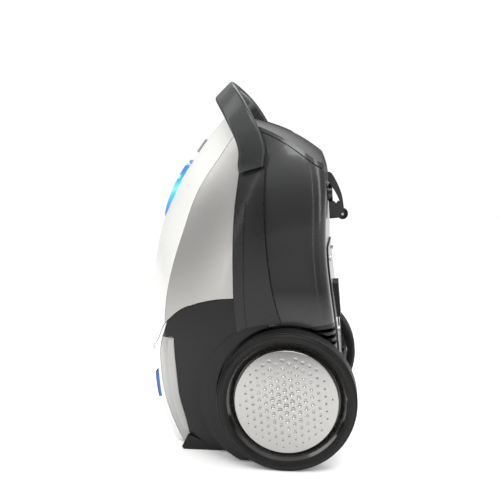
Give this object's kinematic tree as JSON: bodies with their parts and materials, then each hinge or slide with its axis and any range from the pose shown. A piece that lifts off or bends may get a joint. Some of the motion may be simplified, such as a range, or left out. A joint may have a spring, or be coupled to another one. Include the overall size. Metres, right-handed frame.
{
  "type": "vacuum cleaner",
  "caption": "Canister vacuum cleaner standing on its rear end, with hoop handle, hinged lid, round knob, large side wheels and a swivel caster.",
  "frame": {"origin": "on the floor at the middle of the footprint, the cleaner standing on its wheels and rear foot", "axes": "+Z from the rear end up to the front handle, +X towards the underside with the caster, -X towards the lid, Y across"},
  "size_m": [0.2439, 0.2818, 0.4209],
  "materials": {
    "housing_grey": "satin moulded, fine grain",
    "dark_grey": "satin moulded",
    "rear_grey": "satin moulded",
    "silver_lid": "metallic paint under clear coat",
    "white_gloss": "high gloss",
    "silver_trim": "metallic paint",
    "blue_clear": "tinted clear plastic",
    "black_plastic": "fine grain",
    "hub_grey": "glossy",
    "cap_silver": "metallic paint, dimpled",
    "tyre_rubber": "soft rubber",
    "seal_rubber": "soft foam rubber",
    "natural_nylon": "natural nylon",
    "inner_plastic": "as moulded",
    "bag_paper": "non-woven bag cloth",
    "filter_cloth": "pleated non-woven cloth",
    "filter_foam": "open-cell foam",
    "plated_steel": "zinc plated",
    "motor_steel": "laminated steel",
    "alloy": "pressed aluminium",
    "copper_black": "varnished copper windings on laminations",
    "carbon": "pressed carbon",
    "board_green": "circuit board"
  },
  "bodies": {
    "housing": {"lower_housing": "housing_grey", "front_panel": "housing_grey", "rear_cover": "rear_grey", "rear_trim": "silver_trim", "rear_top_panel": "white_gloss", "lid_hinge_pin": "plated_steel", "handle": "dark_grey", "side_band_right": "dark_grey", "side_band_left": "dark_grey", "side_vents": "black_plastic", "hose_port": "black_plastic", "hose_port_seal": "seal_rubber", "caster_socket": "black_plastic", "dust_chamber": "inner_plastic", "dust_bag": "bag_paper", "bag_holder": "inner_plastic", "pre_motor_filter": "filter_foam", "motor_seal": "seal_rubber", "fan_housing": "alloy", "motor_stator": "motor_steel", "motor_frame": "alloy", "carbon_brushes": "carbon", "motor_mount": "seal_rubber", "motor_tray": "inner_plastic", "cord_reel_frame": "inner_plastic", "reel_spring": "plated_steel", "cord_outlet": "black_plastic", "exhaust_filter": "filter_cloth", "rear_grille": "black_plastic", "control_board": "board_green", "rear_foot": "black_plastic", "underside_plate": "housing_grey", "underside_screws": "plated_steel", "parking_bracket": "black_plastic", "wheel_axles": "plated_steel", "axle_clips": "plated_steel"},
    "lid": {"lid_top": "white_gloss", "lid_side_right": "silver_lid", "lid_side_left": "silver_lid", "lid_frame": "inner_plastic", "lid_seal": "seal_rubber", "knob_light_ring": "blue_clear", "power_regulator": "black_plastic"},
    "lid_latch": {"lid_latch": "silver_lid"},
    "power_knob": {"power_knob": "blue_clear"},
    "wheel_right": {"tyre_right": "tyre_rubber", "wheel_hub_right": "hub_grey", "wheel_cap_right": "cap_silver"},
    "wheel_left": {"tyre_left": "tyre_rubber", "wheel_hub_left": "hub_grey", "wheel_cap_left": "cap_silver"},
    "caster": {"caster_fork": "housing_grey", "caster_pin": "plated_steel"},
    "caster_roller": {"caster_roller": "tyre_rubber"},
    "rewind_button": {"rewind_button": "blue_clear"},
    "cord_reel": {"cord_reel_drum": "natural_nylon"},
    "fan_rotor": {"fan_impeller": "alloy", "motor_shaft": "plated_steel", "motor_armature": "copper_black"}
  },
  "joints": [
    {"name": "lid_hinge", "type": "hinge", "parent": "housing", "child": "lid", "pos_m": [-0.1165, 0, 0.11], "axis": [0, -1, 0], "range_deg": [0, 80]},
    {"name": "lid_latch_slide", "type": "slide", "parent": "lid", "child": "lid_latch", "axis": [0.6157, 0, 0.788], "range_m": [0, 0.004], "stiffness_N_per_m": 400},
    {"name": "power_knob_turn", "type": "hinge", "parent": "lid", "child": "power_knob", "pos_m": [-0.089, 0, 0.2948], "axis": [-0.9121, 0, 0.4099], "range_deg": [-135, 135]},
    {"name": "wheel_right_spin", "type": "hinge", "parent": "housing", "child": "wheel_right", "pos_m": [0.048, -0.117, 0.075], "axis": [0, 1, 0], "continuous": true},
    {"name": "wheel_left_spin", "type": "hinge", "parent": "housing", "child": "wheel_left", "pos_m": [0.048, 0.117, 0.075], "axis": [0, 1, 0], "continuous": true},
    {"name": "caster_swivel", "type": "hinge", "parent": "housing", "child": "caster", "pos_m": [0.0868, 0, 0.292], "axis": [0.998, 0, 0.0628], "continuous": true},
    {"name": "caster_roll", "type": "hinge", "parent": "caster", "child": "caster_roller", "pos_m": [0.10464, 0, 0.26807], "axis": [0, 1, 0], "continuous": true},
    {"name": "rewind_button_press", "type": "slide", "parent": "housing", "child": "rewind_button", "axis": [1, 0, 0], "range_m": [0, 0.004], "stiffness_N_per_m": 600},
    {"name": "cord_reel_spin", "type": "hinge", "parent": "housing", "child": "cord_reel", "pos_m": [0.008, 0.064, 0.084], "axis": [0, 1, 0], "continuous": true},
    {"name": "fan_rotor_spin", "type": "hinge", "parent": "housing", "child": "fan_rotor", "pos_m": [0.024, -0.028, 0.11], "axis": [0, 0, 1], "continuous": true}
  ]
}
